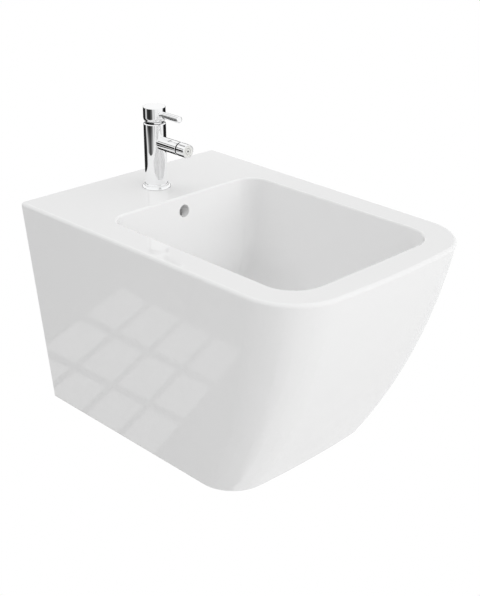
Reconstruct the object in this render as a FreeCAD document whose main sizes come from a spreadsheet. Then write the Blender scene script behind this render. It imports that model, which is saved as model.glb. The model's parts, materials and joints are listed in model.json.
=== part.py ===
"""Wall-hung bidet with its single-lever mixer, push-plug waste and wall fixings, in millimetres.

The origin lies on the wall, midway between the two wall studs.
+X is to the right, -Y points into the room and +Z is up.
"""
import FreeCAD, Part
import math
import os
import re

import Sketcher
from FreeCAD import Rotation, Vector

SIZES = {
    # How far a cut runs past the face that it opens
    "overrun": 1.0,
    # China shell: outline at the deck, at half height (waist) and at the bottom (foot)
    "body_width": 360.0,
    "body_depth": 516.0,
    "body_height": 319.5,
    "waist_set_back": 46.5,
    "foot_set_back": 132.0,
    "side_draft": 30.0,
    "nose_taper": 9.0,
    "top_corner": 77.0,
    "waist_corner": 66.0,
    "foot_corner": 56.0,
    "front_crown": 1400.0,
    "edge_round": 4.0,
    "china_wall": 12.0,
    "deck_thickness": 18.0,
    # Opening under the shell, where the pipes are reached
    "access_side": 42.0,
    "access_front": 36.0,
    "access_corner": 30.0,
    # Bowl, set in from the shell by the widths of the rim round it
    "side_rim": 46.5,
    "front_rim": 41.5,
    "bowl_back": 133.5,
    "bowl_depth": 150.0,
    "bowl_side_draft": 3.0,
    "bowl_side_tuck": 60.0,
    "bowl_back_draft": 8.0,
    "bowl_back_tuck": 22.0,
    "bowl_front_draft": 14.0,
    "bowl_front_tuck": 45.0,
    "back_corner": 30.0,
    "back_corner_loss": 22.0,
    "front_corner": 45.0,
    "front_corner_gain": 15.0,
    "rim_round": 2.5,
    "dish_edge": 9.0,
    "dish_depth": 3.0,
    # Overflow
    "overflow_drop": 22.0,
    "overflow_radius": 9.0,
    "duct_radius": 8.0,
    "duct_wall": 5.0,
    "duct_web": 7.0,
    "duct_bend": 42.0,
    # Wall fixing
    "stud_drop": 100.0,
    "stud_half_width": 90.0,
    "stud_radius": 6.0,
    "stud_play": 0.5,
    "china_hole_radius": 11.0,
    "sleeve_play": 0.2,
    "plate_height": 76.0,
    "plate_thickness": 24.0,
    "wall_washer_radius": 19.0,
    "wall_washer_thickness": 3.0,
    "wall_nut_flats": 19.0,
    "wall_nut_height": 10.0,
    # Waste, just behind the middle of the bowl
    "waste_set_back": 2.0,
    "horn_radius": 36.0,
    "horn_length": 50.0,
    "horn_bore": 23.0,
    "flange_radius": 31.5,
    "flange_play": 0.8,
    "flange_thickness": 2.5,
    "flange_edge": 0.8,
    "flange_seat_radius": 22.0,
    "flange_seat_depth": 4.0,
    "waste_tube_radius": 20.95,
    "waste_tube_bore": 18.5,
    "waste_tube_play": 0.1,
    "waste_tail": 25.0,
    "waste_tail_radius": 20.0,
    "top_seal_thickness": 1.5,
    "bottom_seal_thickness": 6.0,
    "bottom_seal_radius": 32.0,
    "waste_washer_thickness": 2.0,
    "backnut_flats": 50.0,
    "backnut_height": 10.0,
    "slot_width": 16.0,
    "slot_height": 18.0,
    # Push plug
    "plug_radius": 30.0,
    "plug_edge": 2.4,
    "plug_crown": 2.6,
    "plug_gap": 0.3,
    "plug_seal_inner": 23.0,
    "plug_seal_outer": 26.0,
    "plug_seal_thickness": 2.0,
    "plug_stem_radius": 5.5,
    "plug_stem_length": 26.0,
    "click_bore": 5.58,
    "click_wall": 2.4,
    "click_top": 14.0,
    "click_depth": 46.0,
    "click_floor": 2.0,
    "click_ring_height": 6.0,
    "click_ring_wall": 1.6,
    "click_ring_play": 0.05,
    "click_arm_width": 4.0,
    "spring_wire": 0.5,
    "spring_radius": 4.2,
    "spring_turns": 5.0,
    "spring_gap": 0.3,
    # Tap column, spout and base ring
    "tap_setback": 75.0,
    "tap_hole_radius": 17.5,
    "column_radius": 15.8,
    "column_top": 94.0,
    "column_edge": 1.1,
    "mouth_radius": 14.7,
    "mouth_depth": 6.0,
    "nut_bore": 14.2,
    "nut_depth": 10.5,
    "seat_bore": 12.5,
    "seat_depth": 19.0,
    "spout_drop": 27.0,
    "spout_radius": 9.4,
    "spout_reach": 52.4,
    "spout_root": 1.0,
    "spout_edge": 0.5,
    "inlet_radius": 4.5,
    "inlet_thread": 14.0,
    "waterway_radius": 3.5,
    "inlet_spread": 6.0,
    "inlet_back": 4.0,
    "outlet_radius": 4.5,
    "outlet_front": 7.5,
    "ring_radius": 19.6,
    "ring_inner": 12.6,
    "ring_height": 5.0,
    "ring_floor": 2.5,
    "ring_taper": 1.1,
    "ring_round": 0.8,
    "ring_play": 0.1,
    "gasket_thickness": 1.2,
    "gasket_inner": 14.2,
    "gasket_outer": 18.0,
    # Tap fixing under the deck
    "fixing_radius": 4.0,
    "fixing_front": 8.0,
    "fixing_thread": 12.0,
    "fixing_length": 48.0,
    "fixing_play": 0.06,
    "shoe_radius": 22.0,
    "shoe_slot": 24.0,
    "shoe_slot_start": 2.0,
    "shoe_seal_thickness": 3.0,
    "shoe_plate_thickness": 2.5,
    "fixing_nut_flats": 13.0,
    "fixing_nut_height": 14.0,
    # Cartridge, measured down from the lever pivot at the column's mouth
    "cartridge_radius": 12.4,
    "cartridge_shoulder": 11.4,
    "cartridge_bore": 10.6,
    "cartridge_floor": 2.5,
    "cartridge_top": 4.5,
    "cartridge_lip": 1.5,
    "cartridge_lip_bore": 8.6,
    "cartridge_nut_bore": 11.5,
    "cartridge_nut_play": 0.1,
    "port_radius": 2.3,
    "port_seal_wire": 0.85,
    "port_seal_radius": 3.5,
    "fixed_disc_radius": 10.4,
    "fixed_disc_thickness": 3.0,
    "moving_disc_radius": 7.0,
    "moving_disc_thickness": 4.0,
    "slide_gap": 0.1,
    "socket_radius": 2.3,
    "socket_depth": 3.1,
    "rotor_radius": 10.3,
    "rotor_neck": 8.3,
    "rotor_gap": 0.2,
    "rotor_top": 4.0,
    "rotor_slot_width": 7.4,
    "rotor_slot_length": 10.4,
    "pivot_radius": 1.5,
    "pivot_play": 0.05,
    "pivot_set_in": 0.4,
    # Lever, on spheres about the pivot
    "stem_radius": 3.4,
    "stem_top": 19.0,
    "stem_hub": 4.5,
    "stem_neck": 1.5,
    "tip_radius": 2.0,
    "tip_drop": 10.2,
    "stem_play": 0.04,
    "dome_radius": 12.8,
    "dome_wall": 1.2,
    "dome_hole": 7.6,
    "dome_flange_top": 1.0,
    "dome_play": 0.1,
    "cap_gap": 0.4,
    "cap_top": 23.0,
    "cap_edge": 0.8,
    "cap_lip_height": 2.3,
    "cap_lip_radius": 13.5,
    "cap_neck_height": 3.3,
    "cap_neck_radius": 14.1,
    "cap_flare_height": 8.0,
    "pin_radius": 4.6,
    "pin_height": 13.9,
    "pin_reach": 54.2,
    "pin_edge": 1.4,
    "pin_thread_radius": 2.5,
    "pin_thread_length": 7.0,
    "grub_radius": 2.0,
    "grub_length": 6.0,
    "grub_height": 16.4,
    "grub_play": 0.05,
    "saddle_gap": 0.08,
    # Nozzle, on a ball in front of the spout's end and its washer
    "spout_washer_radius": 9.0,
    "spout_washer_thickness": 0.8,
    "ball_radius": 7.0,
    "ball_lead": 6.2,
    "ball_bore": 2.8,
    "ball_play": 0.2,
    "nipple_radius": 4.8,
    "nipple_play": 0.06,
    "nipple_length": 14.0,
    "nozzle_radius": 9.4,
    "nozzle_bore": 8.3,
    "nozzle_length": 18.0,
    "nozzle_gap": 0.35,
    "nozzle_lip": 6.1,
    "nozzle_tilt": 10.0,
    "nozzle_edge": 0.7,
    "seat_ring_bore": 4.6,
    "seat_ring_start": 2.2,
    "seat_ring_end": 7.3,
    "screen_thickness": 1.0,
    "screen_hole": 0.9,
    "screen_circle": 4.0,
    "screen_holes": 8.0,
    "aerator_recess": 0.5,
    "aerator_face": 2.4,
    "aerator_bore": 6.6,
    "aerator_dot": 1.0,
    "jet_radius": 0.8,
    "jet_circle": 4.4,
    "jet_count": 10.0,
    "aerator_play": 0.05,
}

# Share of the bowl's depth at each of its sections, and the power of the round-over towards its floor
BOWL_LEVELS = (0.0, 0.3, 0.55, 0.75, 0.9, 1.0)
BOWL_ROUND_POWER = 3

# Two places closer than this are the same
NEAR = 0.001

DECK = "stud_drop"
MID_DECK = "stud_drop - deck_thickness / 2"
FLOOR = "(stud_drop - bowl_depth)"
FOOT = "(stud_drop - body_height)"
BOWL_HALF = "(body_width / 2 - side_rim)"
BOWL_FRONT = "(body_depth - front_rim)"
DISH = f"({BOWL_HALF} - bowl_side_draft - bowl_side_tuck - dish_edge)"
WASTE_LINE = f"((bowl_back + {BOWL_FRONT}) / 2 - waste_set_back)"
SPOUT_LEVEL = "(column_top - spout_drop)"
DUCT_LINE = "(bowl_back - duct_web - duct_radius)"
DUCT_LEVEL = "(stud_drop - bowl_depth - china_wall - 2 * duct_radius)"

doc = FreeCAD.newDocument("Bidet")
sheet = doc.addObject("Spreadsheet::Sheet", "Sizes")
nodes = []


def fill_sheet():
    """One row for each size: its name beside its number, which carries the name as alias."""
    for row, (name, number) in enumerate(SIZES.items(), start=1):
        sheet.set(f"A{row}", name)
        sheet.set(f"B{row}", str(number))
        sheet.setAlias(f"B{row}", name)
    doc.recompute()


def bound(text):
    """The same formula with each size read from the sheet."""
    return re.sub(r"[a-z_]+", lambda word: f"Sizes.{word[0]}" if word[0] in SIZES else word[0], text)


def value(text):
    return float(sheet.evalExpression(text))


def tie(thing, prop, text):
    thing.setExpression(prop, bound(text))


def new_body(label, at=("0", "0", "0"), facing_front=False):
    """A body whose own Z axis stands at the given place, upright or pointing into the room."""
    body = doc.addObject("PartDesign::Body", label)
    body.Label = label
    if facing_front:
        body.Placement.Rotation = Rotation(Vector(1, 0, 0), 90)
    for axis, text in zip("xyz", at):
        tie(body, f"Placement.Base.{axis}", text)
    return body


def keep(thing, label):
    """Marks a finished sub-part, which is written out under its label."""
    thing.Label = label
    nodes.append(thing)
    return thing


def new_sketch(body, name, role, offset="0"):
    plane = next(part for part in body.Origin.OriginFeatures if part.Role == role)
    sketch = body.newObject("Sketcher::SketchObject", name)
    sketch.AttachmentSupport = [(plane, "")]
    sketch.MapMode = "FlatFace"
    tie(sketch, "AttachmentOffset.Base.z", offset)
    return sketch


def constrain(sketch, kind, text, *where):
    index = sketch.addConstraint(Sketcher.Constraint(kind, *where, value(text)))
    tie(sketch, f"Constraints[{index}]", text)


def pin_point(sketch, piece, end, across, along):
    """Holds one end of a line or arc at a place measured from the sketch's origin."""
    for kind, text, axis in (("DistanceX", across, -2), ("DistanceY", along, -1)):
        if text == "0":
            sketch.addConstraint(Sketcher.Constraint("PointOnObject", piece, end, axis))
        else:
            constrain(sketch, kind, text, piece, end)


def arc_between(start, end, radius, turn):
    """Arc of under a half circle: turn 1 goes anticlockwise from start to end, turn -1 clockwise."""
    chord = end - start
    side = Vector(-chord.y, chord.x, 0).normalize() * turn
    centre = (start + end) * 0.5 + side * math.sqrt(max(radius**2 - chord.Length**2 / 4, 0.0))
    circle = Part.Circle(centre, Vector(0, 0, 1), radius)
    first, last = (start, end) if turn > 0 else (end, start)
    return Part.ArcOfCircle(circle, circle.parameter(first), circle.parameter(last))


def draw(sketch, corners, closed=True):
    """Lines from corner to corner, (across, along). A corner with (radius, turn) as well starts an arc."""
    spots = [Vector(value(corner[0]), value(corner[1]), 0) for corner in corners]
    count = len(corners) if closed else len(corners) - 1
    ends = []
    first = sketch.GeometryCount
    for index, (_, _, *arc) in enumerate(corners[:count]):
        start, end = spots[index], spots[(index + 1) % len(spots)]
        if arc:
            radius, turn = arc
            sketch.addGeometry(arc_between(start, end, value(radius), turn), False)
            ends.append((1, 2) if turn > 0 else (2, 1))
        else:
            sketch.addGeometry(Part.LineSegment(start, end), False)
            ends.append((1, 2))
    for index, (across, along, *arc) in enumerate(corners[:count]):
        piece = first + index
        if closed or index + 1 < count:
            after = (index + 1) % count
            join = Sketcher.Constraint("Coincident", piece, ends[index][1], first + after, ends[after][0])
            sketch.addConstraint(join)
        pin_point(sketch, piece, ends[index][0], across, along)
        if arc:
            constrain(sketch, "Radius", arc[0], piece)
    if not closed:
        pin_point(sketch, first + count - 1, ends[-1][1], *corners[-1])
    return sketch


def draw_circle(sketch, radius, across="0", along="0"):
    centre = Vector(value(across), value(along), 0)
    piece = sketch.addGeometry(Part.Circle(centre, Vector(0, 0, 1), value(radius)), False)
    pin_point(sketch, piece, 3, across, along)
    constrain(sketch, "Radius", radius, piece)


def draw_axis(sketch, across):
    """Upright construction line, which a profile turns about."""
    spot = value(across)
    piece = sketch.addGeometry(Part.LineSegment(Vector(spot, 0, 0), Vector(spot, 1, 0)), True)
    pin_point(sketch, piece, 1, across, "0")
    pin_point(sketch, piece, 2, across, "1")


def rectangle(left, right, low, high):
    """Four corners, or the cross-section of a ring when the sides are its two radii."""
    return [(left, low), (right, low), (right, high), (left, high)]


def volume_of(body):
    return body.Shape.Volume if body.Tip and not body.Shape.isNull() else 0.0


def add_feature(body, kind, name, sketch, **settings):
    """Adds one feature made from a sketch and makes sure that it changed the solid the right way."""
    before = volume_of(body)
    feature = body.newObject(f"PartDesign::{kind}", name)
    feature.Profile = sketch
    for prop, setting in settings.items():
        if isinstance(setting, str) and prop == "Length":
            tie(feature, prop, setting)
        else:
            setattr(feature, prop, setting)
    doc.recompute()
    gained = volume_of(body) - before
    cuts = kind in ("Pocket", "Groove", "SubtractiveLoft", "SubtractivePipe")
    if not feature.isValid() or (gained >= 0 if cuts else gained <= 0):
        raise RuntimeError(f"{body.Label}: {name} left the solid as it was")
    return feature


def pad(body, name, sketch, length, **settings):
    return add_feature(body, "Pad", name, sketch, Length=length, **settings)


def pocket(body, name, sketch, length, **settings):
    return add_feature(body, "Pocket", name, sketch, Length=length, **settings)


def pocket_through(body, name, sketch):
    return add_feature(body, "Pocket", name, sketch, Type="ThroughAll", SideType="Symmetric")


def turn(body, name, corners):
    """Solid of revolution about the body's own Z axis, from (radius, height) corners."""
    sketch = draw(new_sketch(body, f"{name}Outline", "XZ_Plane"), corners)
    return add_feature(body, "Revolution", name, sketch, ReferenceAxis=(sketch, ["V_Axis"]), Angle=360)


def turned(label, at, corners, facing_front=False):
    body = new_body(label, at, facing_front)
    turn(body, "Turning", corners)
    return body


def drill(body, name, radius, across, along, start, length, **settings):
    """Round hole along the body's Z axis, down from the start height, or up from it with Reversed."""
    sketch = new_sketch(body, f"{name}Circle", "XY_Plane", start)
    draw_circle(sketch, radius, across, along)
    return pocket(body, name, sketch, length, **settings)


def spread(body, feature, name, count):
    """Repeats a feature evenly round the body's Z axis."""
    pattern = body.newObject("PartDesign::PolarPattern", name)
    pattern.Originals = [feature]
    axis = next(part for part in body.Origin.OriginFeatures if part.Role == "Z_Axis")
    pattern.Axis = (axis, [""])
    pattern.Angle = 360
    tie(pattern, "Occurrences", count)
    body.Tip = pattern
    doc.recompute()


def round_edges(body, name, radius, chosen):
    """Rounds those edges of the solid so far that the given test picks."""
    base = body.Tip
    names = [f"Edge{number}" for number, edge in enumerate(base.Shape.Edges, start=1) if chosen(edge)]
    fillet = body.newObject("PartDesign::Fillet", name)
    fillet.Base = (base, names)
    tie(fillet, "Radius", radius)
    doc.recompute()


def hexagon(flats):
    """Corners of a hexagon with two corners on the sketch's across axis."""
    reach, half, side = f"{flats} / 2 / cos(30)", f"{flats} / 4 / cos(30)", f"{flats} / 2"
    upper = [(reach, "0"), (half, side), (f"-{half}", side)]
    lower = [(f"-{reach}", "0"), (f"-{half}", f"-{side}"), (half, f"-{side}")]
    return upper + lower


def hex_nut(label, at, flats, bore, height, facing_front=False):
    body = new_body(label, at, facing_front)
    sketch = new_sketch(body, "Hexagon", "XY_Plane")
    draw(sketch, hexagon(flats))
    draw_circle(sketch, bore)
    pad(body, "Blank", sketch, height)
    return body


def pair(label, body):
    """The body and its mirror image on the other side of the middle plane, in one node."""
    body.Label = f"{label}_right"
    twin = doc.addObject("Part::Mirroring", f"{label}_left")
    twin.Source = body
    twin.Normal = Vector(1, 0, 0)
    both = doc.addObject("Part::Compound", label)
    both.Links = [body, twin]
    return keep(both, label)


def shell_level(top, waist, foot, share):
    """A size that runs through its deck, waist and foot values, at a share of the way down."""
    return (
        f"({top} * (1 - {share}) * (1 - 2 * {share}) + 4 * {waist} * {share} * (1 - {share})"
        f" - {foot} * {share} * (1 - 2 * {share}))"
    )


def shell_section(body, name, share, inset="0", back="0"):
    """Level section of the shell: straight sides that close in to the front, round corners, crowned front."""
    half = f"body_width / 2 - side_draft * {share} - {inset}"
    waist, foot = "(body_depth - waist_set_back)", "(body_depth - foot_set_back)"
    front = f"{shell_level('body_depth', waist, foot, share)} - {inset}"
    corner = f"{shell_level('top_corner', 'waist_corner', 'foot_corner', share)} - {inset}"
    crown = f"front_crown - {inset}"
    sketch = new_sketch(body, name, "XY_Plane", f"stud_drop - body_height * {share}")
    wide, deep, bend, bow, rear = (value(text) for text in (half, front, corner, crown, back))
    left, near = Vector(-wide, rear, 0), Vector(-wide, bend - deep, 0)
    low_left, low_right = Vector(bend - wide, -deep, 0), Vector(wide - bend, -deep, 0)
    far, right = Vector(wide, bend - deep, 0), Vector(wide, rear, 0)
    for piece in (
        Part.LineSegment(left, near),
        arc_between(near, low_left, bend, 1),
        arc_between(low_left, low_right, bow, 1),
        arc_between(low_right, far, bend, 1),
        Part.LineSegment(far, right),
        Part.LineSegment(right, left),
        Part.Point(Vector(-wide, -deep, 0)),
    ):
        sketch.addGeometry(piece, isinstance(piece, Part.Point))
    for before in range(4):
        sketch.addConstraint(Sketcher.Constraint("Tangent", before, 2, before + 1, 1))
    sketch.addConstraint(Sketcher.Constraint("Coincident", 4, 2, 5, 1))
    sketch.addConstraint(Sketcher.Constraint("Coincident", 5, 2, 0, 1))
    sketch.addConstraint(Sketcher.Constraint("Symmetric", 0, 1, 4, 2, -2))
    sketch.addConstraint(Sketcher.Constraint("Symmetric", 0, 2, 4, 1, -2))
    sketch.addConstraint(Sketcher.Constraint("Equal", 1, 3))
    sketch.addConstraint(Sketcher.Constraint("PointOnObject", 6, 1, 0))
    pin_point(sketch, 0, 1, f"-({half})", back)
    pin_point(sketch, 6, 1, f"nose_taper - ({half})", "-body_depth")
    constrain(sketch, "Radius", corner, 1)
    constrain(sketch, "Radius", crown, 2)
    constrain(sketch, "DistanceY", f"{crown} - ({front})", 2, 3)
    return sketch


def bowl_section(body, name, level, grown, height):
    """Level section of the bowl, a rounded rectangle, at a share of its depth and grown by a wall."""
    tuck = 1 - math.sqrt(1 - level**BOWL_ROUND_POWER)

    def drawn_in(side):
        return f"(bowl_{side}_draft * {level} + bowl_{side}_tuck * {tuck:.5f} - {grown})"

    half = f"({BOWL_HALF} - {drawn_in('side')})"
    back = f"(-bowl_back - {drawn_in('back')})"
    front = f"({drawn_in('front')} - {BOWL_FRONT})"
    near = f"(front_corner + front_corner_gain * {level} + {grown} / 2)"
    far = f"(back_corner - back_corner_loss * {level} + {grown} / 2)"
    sketch = new_sketch(body, name, "XY_Plane", height)
    return draw(
        sketch,
        [
            (f"{near} - {half}", front),
            (f"{half} - {near}", front, near, 1),
            (half, f"{front} + {near}"),
            (half, f"{back} - {far}", far, 1),
            (f"{half} - {far}", back),
            (f"{far} - {half}", back, far, 1),
            (f"-{half}", f"{back} - {far}"),
            (f"-{half}", f"{front} + {near}", near, 1),
        ],
    )


def loft(body, kind, name, sections):
    return add_feature(body, kind, name, sections[0], Sections=sections[1:])


def china_shell(body):
    """Outer form, its rounded top and foot edges, and the hollow that is open to the wall."""
    levels = (("Deck", "0"), ("Waist", "0.5"), ("Foot", "1"))
    loft(body, "AdditiveLoft", "Shell", [shell_section(body, name, share) for name, share in levels])

    def on_rim(edge):
        at_back = max(abs(vertex.Y) for vertex in edge.Vertexes) < NEAR
        heights = [abs(vertex.Z - value(level)) for vertex in edge.Vertexes for level in (DECK, FOOT)]
        level_edge = abs(edge.Vertexes[0].Z - edge.Vertexes[-1].Z) < NEAR
        return level_edge and not at_back and min(heights) < NEAR

    round_edges(body, "EdgeRound", "edge_round", on_rim)
    shares = ("(deck_thickness / body_height)", "0.5", "(1 - china_wall / body_height)")
    hollow = [
        shell_section(body, f"Hollow{number}", share, "china_wall", "edge_round")
        for number, share in enumerate(shares)
    ]
    loft(body, "SubtractiveLoft", "Hollow", hollow)


def wall_plate(body):
    """Thick plate across the back, which the wall studs pass through, and the opening underneath."""
    high, low = "plate_height / 2", "-plate_height / 2"
    reach = "(body_width / 2 - china_wall / 2 - side_draft * (stud_drop - ({})) / body_height)"
    wide, narrow = reach.format(high), reach.format(low)
    sketch = new_sketch(body, "PlateOutline", "XZ_Plane")
    draw(sketch, [(f"-{narrow}", low), (narrow, low), (wide, high), (f"-{wide}", high)])
    pad(body, "Plate", sketch, "plate_thickness")
    holes = new_sketch(body, "StudCircles", "XZ_Plane")
    draw_circle(holes, "china_hole_radius", "stud_half_width", "0")
    draw_circle(holes, "china_hole_radius", "-stud_half_width", "0")
    pocket(body, "StudHoles", holes, "plate_thickness + overrun", Reversed=True)
    half, bend = "(body_width / 2 - side_draft - access_side)", "access_corner"
    deep = "(foot_set_back + access_front - body_depth)"
    access = new_sketch(body, "AccessOutline", "XY_Plane", FOOT)
    draw(
        access,
        [
            (f"-{half}", "overrun"),
            (f"-{half}", f"{deep} + {bend}", bend, 1),
            (f"-{half} + {bend}", deep),
            (f"{half} - {bend}", deep, bend, 1),
            (half, f"{deep} + {bend}"),
            (half, "overrun"),
        ],
    )
    pocket(body, "Access", access, "china_wall + overrun", Reversed=True)


def bowl_shell(body):
    """China round the bowl, the horn below its waste hole and the duct behind it, before they are opened."""
    heights = [MID_DECK]
    heights += [f"stud_drop - bowl_depth * {level} - china_wall * {level}" for level in BOWL_LEVELS[1:]]
    sections = [
        bowl_section(body, f"BowlOuter{number}", level, "china_wall", height)
        for number, (level, height) in enumerate(zip(BOWL_LEVELS, heights))
    ]
    loft(body, "AdditiveLoft", "BowlShell", sections)
    horn = new_sketch(body, "HornOutline", "YZ_Plane")
    line = f"-{WASTE_LINE}"
    draw_axis(horn, line)
    draw(horn, rectangle(line, f"{line} + horn_radius", f"{FLOOR} - horn_length", f"{FLOOR} - dish_depth"))
    add_feature(body, "Revolution", "Horn", horn, ReferenceAxis=(horn, ["Axis0"]), Angle=360)


def duct(body, kind, name, radius):
    """Overflow duct: straight down behind the bowl, then forward under its floor to the horn."""
    line, level = f"-{DUCT_LINE}", DUCT_LEVEL
    spine = new_sketch(body, f"{name}Line", "YZ_Plane")
    corners = [
        (line, MID_DECK),
        (line, f"{level} + duct_bend", "duct_bend", -1),
        (f"{line} - duct_bend", level),
        (f"horn_bore / 2 - {WASTE_LINE}", level),
    ]
    draw(spine, corners, closed=False)
    section = new_sketch(body, f"{name}Section", "XY_Plane", MID_DECK)
    draw_circle(section, radius, "0", line)
    add_feature(body, kind, name, section, Spine=spine)


def open_bowl(body):
    """The bowl itself, its rounded rim, the dished floor with the waste hole, and the overflow."""
    sections = [
        bowl_section(body, f"BowlInner{number}", level, "0", f"stud_drop - bowl_depth * {level}")
        for number, level in enumerate(BOWL_LEVELS)
    ]
    loft(body, "SubtractiveLoft", "Bowl", sections)
    half, back, front = value(BOWL_HALF), value("-bowl_back"), -value(BOWL_FRONT)

    def on_bowl_rim(edge):
        box = edge.BoundBox
        level = abs(box.ZMin - value(DECK)) < NEAR and box.ZLength < NEAR
        across = max(-box.XMin, box.XMax) < half + NEAR
        return level and across and front - NEAR < box.YMin and box.YMax < back + NEAR

    round_edges(body, "RimRound", "rim_round", on_bowl_rim)
    recess = f"{FLOOR} - dish_depth - flange_thickness - top_seal_thickness"
    waste = new_sketch(body, "WasteOutline", "YZ_Plane")
    draw_axis(waste, f"-{WASTE_LINE}")
    steps = [
        ("0", FLOOR),
        (DISH, FLOOR),
        ("flange_radius + flange_play", f"{FLOOR} - dish_depth"),
        ("flange_radius + flange_play", recess),
        ("horn_bore", recess),
        ("horn_bore", f"{FLOOR} - horn_length - overrun"),
        ("0", f"{FLOOR} - horn_length - overrun"),
    ]
    draw(waste, [(f"{radius} - {WASTE_LINE}", height) for radius, height in steps])
    add_feature(body, "Groove", "Waste", waste, ReferenceAxis=(waste, ["Axis0"]), Angle=360)
    duct(body, "SubtractivePipe", "Channel", "duct_radius")
    hole = new_sketch(body, "OverflowCircle", "XZ_Plane", DUCT_LINE)
    draw_circle(hole, "overflow_radius", "0", "stud_drop - overflow_drop")
    pocket(body, "Overflow", hole, "duct_radius + duct_web + bowl_back_draft", Reversed=True)


def ceramic_body():
    body = new_body("ceramic_body")
    china_shell(body)
    wall_plate(body)
    bowl_shell(body)
    duct(body, "AdditivePipe", "Duct", "duct_radius + duct_wall")
    open_bowl(body)
    drill(body, "TapHole", "tap_hole_radius", "0", "-tap_setback", DECK, "deck_thickness + overrun")
    keep(body, "ceramic_body")


def wall_fixings():
    """Sleeve, washer and nut on each wall stud, set from inside the hollow."""
    at = ("stud_half_width", "0", "0")
    bore = "stud_radius + stud_play"
    inside, outside = "plate_thickness", "plate_thickness + wall_washer_thickness"
    sleeve = rectangle(bore, "china_hole_radius - sleeve_play", "0", inside)
    pair("wall_sleeves", turned("sleeve", at, sleeve, True))
    pair("wall_washers", turned("washer", at, rectangle(bore, "wall_washer_radius", inside, outside), True))
    nut_at = (at[0], f"-({outside})", at[2])
    pair("wall_nuts", hex_nut("nut", nut_at, "wall_nut_flats", bore, "wall_nut_height", True))


def waste():
    """Waste fitting, clamped in the horn between flange and backnut, with heights from the flange's top."""
    at = ("0", f"-{WASTE_LINE}", f"{FLOOR} - dish_depth")
    horn_end = "(horn_length - dish_depth)"
    seal_end = f"({horn_end} + bottom_seal_thickness)"
    washer_end = f"({seal_end} + waste_washer_thickness)"
    nut_end = f"({washer_end} + backnut_height)"
    end = f"-({nut_end} + waste_tail)"
    body = turned(
        "waste_body",
        at,
        [
            ("waste_tube_bore", "-flange_seat_depth"),
            ("flange_seat_radius", "0"),
            ("flange_radius - flange_edge", "0"),
            ("flange_radius", "-flange_edge"),
            ("flange_radius", "-flange_thickness"),
            ("waste_tube_radius", "-flange_thickness"),
            ("waste_tube_radius", f"-{nut_end}"),
            ("waste_tail_radius", f"-{nut_end}"),
            ("waste_tail_radius", end),
            ("waste_tube_bore", end),
        ],
    )
    slots = new_sketch(body, "SlotOutline", "XZ_Plane")
    level = f"({DUCT_LEVEL} - {FLOOR} + dish_depth)"
    tall = "slot_height / 2"
    draw(slots, rectangle("-slot_width / 2", "slot_width / 2", f"{level} - {tall}", f"{level} + {tall}"))
    pocket_through(body, "OverflowSlots", slots)
    keep(body, "waste_body")
    clear = "waste_tube_radius + waste_tube_play"
    under = "-flange_thickness"
    outlines = {
        "waste_top_seal": rectangle(clear, "flange_radius", f"{under} - top_seal_thickness", under),
        "waste_bottom_seal": rectangle(clear, "bottom_seal_radius", f"-{seal_end}", f"-{horn_end}"),
        "waste_washer": rectangle(clear, "bottom_seal_radius", f"-{washer_end}", f"-{seal_end}"),
    }
    for label, corners in outlines.items():
        keep(turned(label, at, corners), label)
    nut_at = (at[0], at[1], f"{at[2]} - {nut_end}")
    keep(hex_nut("nut", nut_at, "backnut_flats", clear, "backnut_height"), "waste_backnut")


def push_plug():
    """Plug that a push raises or lowers, with its catch in the middle of the waste."""
    at = ("0", f"-{WASTE_LINE}", f"{FLOOR} - dish_depth")
    seal_top = "(plug_gap + plug_seal_thickness)"
    edge_top = f"({seal_top} + plug_edge)"
    crown = "(plug_radius^2 + plug_crown^2) / (2 * plug_crown)"
    cap = turned(
        "plug_cap",
        at,
        [
            ("0", seal_top),
            ("plug_radius", seal_top),
            ("plug_radius", edge_top, crown, 1),
            ("0", f"{edge_top} + plug_crown"),
        ],
    )
    keep(cap, "plug_cap")
    seal = rectangle("plug_seal_inner", "plug_seal_outer", "plug_gap", seal_top)
    keep(turned("seal", at, seal), "plug_seal")
    stem_end = f"({seal_top} - plug_stem_length)"
    stem = turned("stem", at, rectangle("0", "plug_stem_radius", stem_end, seal_top))
    keep(stem, "plug_stem")
    tube = "click_bore + click_wall"
    low, floor = "-click_depth", "click_floor - click_depth"
    housing = turned(
        "click_housing",
        at,
        [
            ("0", low),
            (tube, low),
            (tube, "-click_top"),
            ("click_bore", "-click_top"),
            ("click_bore", floor),
            ("0", floor),
        ],
    )
    edge = "waste_tube_bore - click_ring_play"
    arm = new_sketch(housing, "ArmOutline", "XY_Plane", low)
    half = "click_arm_width / 2"
    draw(arm, rectangle("click_bore + click_wall / 2", f"{edge} - click_ring_wall / 2", f"-{half}", half))
    first_arm = pad(housing, "Arm", arm, "click_ring_height")
    spread(housing, first_arm, "Arms", "3")
    ring_top = "click_ring_height - click_depth"
    turn(housing, "Ring", rectangle(f"{edge} - click_ring_wall", edge, low, ring_top))
    keep(housing, "click_housing")
    click_spring(at, floor, stem_end)


def click_spring(at, floor, stem_end):
    """Coil spring between the catch's floor and the end of the plug's stem."""
    spine = doc.addObject("Part::Helix", "SpringLine")
    length = f"({stem_end} - spring_gap - ({floor}) - 2 * spring_wire)"
    tie(spine, "Radius", "spring_radius")
    tie(spine, "Height", length)
    tie(spine, "Pitch", f"{length} / spring_turns")
    circle = doc.addObject("Part::Circle", "SpringWire")
    tie(circle, "Radius", "spring_wire")
    circle.Placement.Rotation = Rotation(Vector(1, 0, 0), 90)
    tie(circle, "Placement.Base.x", "spring_radius")
    doc.recompute()
    spring = doc.addObject("Part::Sweep", "click_spring")
    spring.Sections = [circle]
    spring.Spine = (spine, ["Edge1"])
    spring.Solid = True
    spring.Frenet = True
    for axis, text in zip("xyz", (at[0], at[1], f"{at[2]} + {floor} + spring_wire")):
        tie(spring, f"Placement.Base.{axis}", text)
    keep(spring, "click_spring")


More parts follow.
